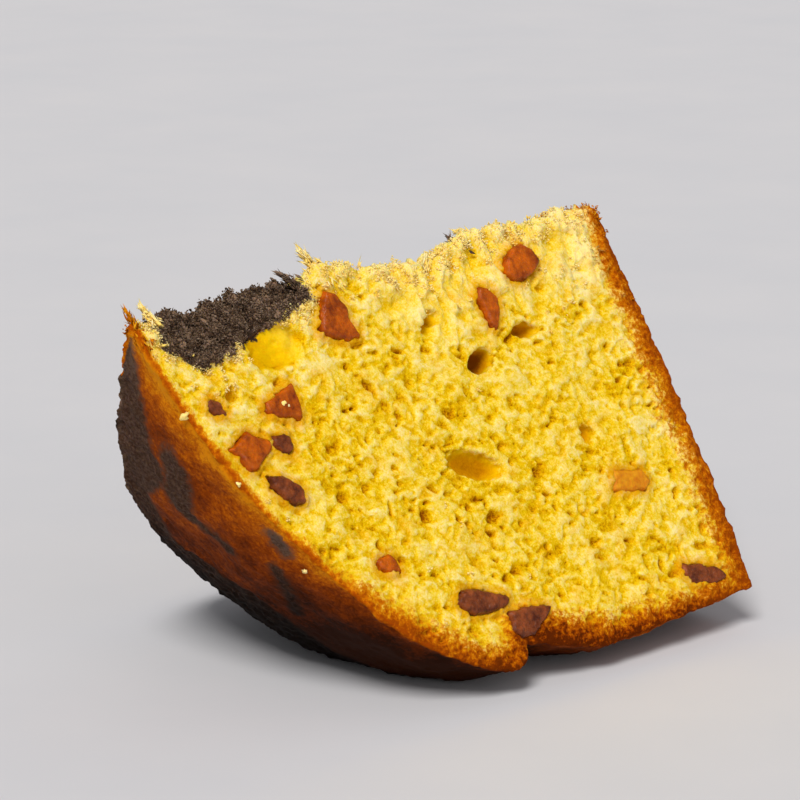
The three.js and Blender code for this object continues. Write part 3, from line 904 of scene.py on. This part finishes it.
def shades(tree, value, stops):
    """Colours along a value: stops are (place, red, green, blue)."""
    node = add(tree, "ShaderNodeValToRGB", {"Fac": value})
    marks = node.color_ramp.elements
    while len(marks) < len(stops):
        marks.new(0.5)
    for mark, (place, *shade) in zip(marks, stops):
        mark.position = place
        mark.color = colour(*shade)
    return node.outputs["Color"]


def noise(tree, vector, wave, detail=2, roughness=0.6):
    """Cloudy value around 0.5 with humps about one wave apart, in millimetres."""
    inputs = {"Vector": vector, "Scale": 1 / (wave * MM), "Detail": detail, "Roughness": roughness}
    return add(tree, "ShaderNodeTexNoise", inputs).outputs["Fac"]


def attribute(tree, name):
    return add(tree, "ShaderNodeAttribute", attribute_name=name).outputs["Fac"]


def group(name, inputs, outputs):
    """An empty shader group with named inputs, given as (name, kind, value), and named outputs."""
    tree = bpy.data.node_groups.new(name, "ShaderNodeTree")
    for label, kind, value in inputs:
        socket = tree.interface.new_socket(label, in_out="INPUT", socket_type=kind)
        if value is not None:
            socket.default_value = value
    for label, kind in outputs:
        tree.interface.new_socket(label, in_out="OUTPUT", socket_type=kind)
    return tree, tree.nodes.new("NodeGroupInput").outputs, tree.nodes.new("NodeGroupOutput").inputs


def use(tree, grouped, inputs):
    node = add(tree, "ShaderNodeGroup", node_tree=grouped)
    for key, value in inputs.items():
        if isinstance(value, bpy.types.NodeSocket):
            tree.links.new(value, node.inputs[key])
        else:
            node.inputs[key].default_value = value
    return node.outputs


def fine_pores_group():
    """The small pores of the crumb, finer than the mesh: 1 in a pore, 0 on the walls between."""
    tree, given, out = group(
        "fine_pores",
        [("Vector", "NodeSocketVector", None), ("Size", "NodeSocketFloat", 1.0)],
        [("Pore", "NodeSocketFloat")],
    )
    wobble = add(tree, "ShaderNodeTexNoise", {"Vector": given["Vector"], "Scale": 900, "Detail": 1})
    shift = {0: wobble.outputs["Color"], "Scale": 0.9 * MM}
    offset = add(tree, "ShaderNodeVectorMath", shift, operation="SCALE")
    bent = add(tree, "ShaderNodeVectorMath", {0: given["Vector"], 1: offset.outputs[0]}, operation="ADD")
    scale = calc(tree, "DIVIDE", 1 / MM, given["Size"])
    cells = add(tree, "ShaderNodeTexVoronoi", {"Vector": bent.outputs[0], "Scale": scale, "Randomness": 1})
    near = calc(tree, "SUBTRACT", 1, calc(tree, "MULTIPLY", cells.outputs["Distance"], 1.25))
    tree.links.new(smooth(tree, near, 0.1, 0.85), out["Pore"])
    return tree


def new_material(name):
    material = bpy.data.materials.new(name)
    material.use_nodes = True
    tree = material.node_tree
    return material, tree, tree.nodes["Principled BSDF"]


def soften(shader, specular, weight, radius, reach):
    """Plain values of a soft surface that lets a little light in, with its reach in millimetres."""
    shader.inputs["Specular IOR Level"].default_value = specular
    shader.inputs["Subsurface Weight"].default_value = weight
    shader.inputs["Subsurface Radius"].default_value = radius
    shader.inputs["Subsurface Scale"].default_value = reach * MM


def cocoa_depth(tree, place):
    """Depth inside the cocoa dough in millimetres, with a wandering edge."""
    return vary(tree, attribute(tree, "cocoa"), noise(tree, place, 2.2, 4, 0.7), COCOA_WANDER)


def yellow_dough(tree, place, deep, bake_and_painted_light):
    """Yellow crumb, darker into its pores partly as painted shade, stained round the fruit and browned
    towards the outside.
    """
    warmth = calc(tree, "MULTIPLY", smooth(tree, noise(tree, place, 5, 3), 0.52, 0.68), 0.45)
    yellow = blend(tree, warmth, shades(tree, deep, YELLOW_CRUMB_AND_SHADE), shades(tree, deep, WARM_CRUMB_AND_SHADE))
    stain = calc(tree, "MULTIPLY", attribute(tree, "stain"), 0.5)
    stained = blend(tree, stain, yellow, colour(*FRUIT_STAIN))
    patchy = vary(tree, attribute(tree, "depth"), noise(tree, place, 9, 3), 1.2)
    mottled = vary(tree, patchy, noise(tree, place, 1.1, 4, 0.75), 2.3)
    light = shades(tree, mottled, LIGHT_BROWN)
    dark = shades(tree, mottled, DARK_BROWN)
    baked = blend(tree, smooth(tree, bake_and_painted_light, -0.1, 0.6), light, dark)
    return blend(tree, smooth(tree, mottled, 0.5, 1.25), baked, stained)


def baked_skin(tree, place, fleck, bake_and_painted_light):
    """Crust, darker where it is baked more, with painted shade low on the dome and painted light along the
    front cut.
    """
    tone = vary(tree, bake_and_painted_light, fleck, 0.9)
    tone = vary(tree, tone, noise(tree, place, 8, 5, 0.7), 1.1)
    return shades(tree, tone, CRUST)


def slice_material(fine_pores):
    """Yellow crumb, browned towards the outside, with a baked skin and cocoa marbling."""
    material, tree, shader = new_material("panettone")
    place = add(tree, "ShaderNodeTexCoord").outputs["Object"]
    skin = attribute(tree, "skin")
    # The bake mask carries baking with painted shade low on the dome and painted light along the front cut;
    # the crust and the cocoa skin both follow it
    bake_and_painted_light = attribute(tree, "bake_and_painted_light")
    fleck = noise(tree, place, 0.8, 4, 0.75)

    fine = use(tree, fine_pores, {"Vector": place, "Size": 1.1})["Pore"]
    ragged = vary(tree, calc(tree, "MULTIPLY", fine, 0.25), noise(tree, place, 0.45, 3, 0.75), 3.1)
    calm = calc(tree, "MULTIPLY_ADD", attribute(tree, "hollow"), -0.8, 1)
    openness = calc(tree, "MULTIPLY_ADD", ragged, calm, attribute(tree, "open"))
    # How deep the crumb looks sets its colour: pale walls, deeper yellow pores partly as painted shade, and
    # painted shade in hollows and between torn tufts
    deep = calc(tree, "MULTIPLY_ADD", openness, CRUMB_SPREAD, CRUMB_MEAN)

    in_cocoa = cocoa_depth(tree, place)
    sharp = smooth(tree, in_cocoa, -0.25, 0.25)
    soft = smooth(tree, in_cocoa, -1.4, 1)
    cocoa_tone = calc(tree, "MULTIPLY_ADD", bake_and_painted_light, -0.75, calc(tree, "ADD", fleck, 0.5))
    cocoa = blend(tree, skin, shades(tree, deep, COCOA_CRUMB_AND_SHADE), shades(tree, cocoa_tone, COCOA_CRUST))
    dough = yellow_dough(tree, place, deep, bake_and_painted_light)
    plain = blend(tree, skin, dough, baked_skin(tree, place, fleck, bake_and_painted_light))
    base = blend(tree, between(tree, skin, sharp, soft), plain, cocoa)
    tree.links.new(base, shader.inputs["Base Color"])

    open_height = calc(tree, "MULTIPLY", openness, -0.6)
    height = between(tree, skin, open_height, calc(tree, "MULTIPLY", fleck, 0.5))
    bump = add(tree, "ShaderNodeBump", {"Height": height, "Strength": 0.5, "Distance": 0.3 * MM})
    tree.links.new(bump.outputs["Normal"], shader.inputs["Normal"])
    tree.links.new(between(tree, skin, 0.9, 0.7), shader.inputs["Roughness"])
    soften(shader, 0.03, 0.35, (1, 0.55, 0.1), 1)
    return material


def shred_material():
    """Thin bits of crumb: pale on top, browned near the crust and dark where the dough is."""
    material, tree, shader = new_material("crumb_shreds")
    place = add(tree, "ShaderNodeTexCoord").outputs["Object"]
    tone = vary(tree, attribute(tree, "tint"), noise(tree, place, 0.7, 3, 0.7), 0.7)
    depth = vary(tree, attribute(tree, "depth"), noise(tree, place, 9, 3), 0.9)
    inner = smooth(tree, depth, 0.4, 1.15)
    plain = blend(tree, inner, shades(tree, tone, BROWN_SHREDS), shades(tree, tone, PALE_SHREDS))
    cocoa = smooth(tree, cocoa_depth(tree, place), -0.25, 0.25)
    base = blend(tree, cocoa, plain, shades(tree, tone, COCOA_SHREDS))
    tree.links.new(base, shader.inputs["Base Color"])
    shader.inputs["Roughness"].default_value = 0.9
    soften(shader, 0.03, 0.15, (1, 0.5, 0.15), 0.6)
    return material


# Fruit


def make_fruit(node, wrinkle, wave, seed):
    """A fine, wrinkled copy of a fruit piece, a little larger so that it meets the crumb."""
    piece = merged_copy(node, node + "_flesh")
    remesh(piece, FRUIT_VOXEL)
    mesh = piece.data
    points = read_points(mesh)
    cake = to_cake(points)
    height = 0.25 + wrinkle * (cloud(cake, wave, seed) + 0.5 * cloud(cake, wave / 2, seed + 1))
    write_points(mesh, points + read_normals(mesh) * (height * MM)[:, None])
    mesh.shade_smooth()
    return piece


def fruit_material(name, tones, roughness, glow):
    """Half clear, sticky flesh that is darker in patches."""
    material, tree, shader = new_material(name)
    place = add(tree, "ShaderNodeTexCoord").outputs["Object"]
    small = calc(tree, "MULTIPLY", noise(tree, place, 1, 4, 0.7), 0.4)
    tone = calc(tree, "MULTIPLY_ADD", noise(tree, place, 4, 2), 0.6, small)
    tree.links.new(shades(tree, tone, tones), shader.inputs["Base Color"])
    fine = noise(tree, place, 0.6, 3)
    bump = add(tree, "ShaderNodeBump", {"Height": fine, "Strength": 0.8, "Distance": 0.35 * MM})
    tree.links.new(bump.outputs["Normal"], shader.inputs["Normal"])
    damp = calc(tree, "MULTIPLY_ADD", fine, 0.3, roughness - 0.15)
    tree.links.new(damp, shader.inputs["Roughness"])
    soften(shader, 0.2, glow, (1, 0.3, 0.05), 1)
    return material


def fruit_slot(node):
    """The slot that a fruit node takes its finish from."""
    if node.startswith("raisin"):
        return "raisin"
    return "pale_orange" if node in PALE_ORANGE else "candied_orange"


def make_all_fruit():
    """Every piece of fruit with its finish."""
    flesh = {slot: fruit_material(*look) for slot, look in FRUIT.items()}
    pieces = []
    for index, node in enumerate(sorted(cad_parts)):
        if node != "slice":
            slot = fruit_slot(node)
            pieces.append(make_fruit(node, *WRINKLES[slot], FRUIT_SEED + index))
            finish_piece(pieces[-1], flesh[slot], slot, node)
    return pieces


def make_shreds_and_crumbs(body):
    """The tufts, the loose crumbs and the torn points of the edges, with their finish."""
    shreds = shred_material()
    for name, tufts, lengths, widths, seed, wanted in SHREDS:
        finish_piece(make_shreds(body, name, tufts, lengths, widths, seed, wanted), shreds, "crumb")
    finish_piece(make_loose_crumbs(LOOSE_SEED), shreds, "crumb")
    for kind, seed in TORN_SEEDS.items():
        finish_piece(make_torn_bits(kind, seed), shreds, "crumb")


# The stage, the camera and the lights


def make_camera():
    camera = bpy.data.cameras.new("camera")
    camera.lens = CAMERA_LENS
    camera.sensor_width = CAMERA_SENSOR
    camera.clip_start = 0.01
    piece = bpy.data.objects.new("camera", camera)
    bpy.context.scene.collection.objects.link(piece)
    turn = Matrix.Rotation(CAMERA_AZIMUTH, 4, "Z") @ Matrix.Rotation(math.pi / 2 - CAMERA_ELEVATION, 4, "X")
    piece.matrix_world = Matrix.Translation(CAMERA_PLACE) @ turn
    bpy.context.scene.camera = piece


def make_floor():
    shape = bmesh.new()
    bmesh.ops.create_grid(shape, x_segments=1, y_segments=1, size=4)
    mesh = bpy.data.meshes.new("floor")
    shape.to_mesh(mesh)
    shape.free()
    floor = link("floor", mesh)
    material, tree, shader = new_material("pale_floor")
    place = add(tree, "ShaderNodeTexCoord").outputs["Object"]
    tone = shades(tree, noise(tree, place, 60, 3), FLOOR_TONES)
    tree.links.new(tone, shader.inputs["Base Color"])
    shader.inputs["Roughness"].default_value = 0.7
    shader.inputs["Specular IOR Level"].default_value = 0.1
    mesh.materials.append(material)


def make_sun(name, toward, strength, spread):
    """Broad soft light that comes from one side at the same strength everywhere."""
    light = bpy.data.lights.new(name, "SUN")
    light.energy = strength
    light.angle = math.radians(spread)
    piece = bpy.data.objects.new(name, light)
    bpy.context.scene.collection.objects.link(piece)
    piece.rotation_euler = Vector(toward).to_track_quat("-Z", "Y").to_euler()


def make_world():
    world = bpy.data.worlds.new("studio")
    world.use_nodes = True
    world.node_tree.nodes["Background"].inputs["Color"].default_value = SKY_COLOUR
    world.node_tree.nodes["Background"].inputs["Strength"].default_value = SKY_STRENGTH
    bpy.context.scene.world = world


make_camera()
make_floor()
make_sun("key", *KEY_LIGHT)
make_sun("fill", *FILL_LIGHT)
make_world()
bpy.context.scene.view_settings.view_transform = "Standard"

fruits = make_all_fruit()
body = make_slice(fruits)
finish_piece(body, slice_material(fine_pores_group()), "crumb", "slice")
make_shreds_and_crumbs(body)

bpy.context.view_layer.update()
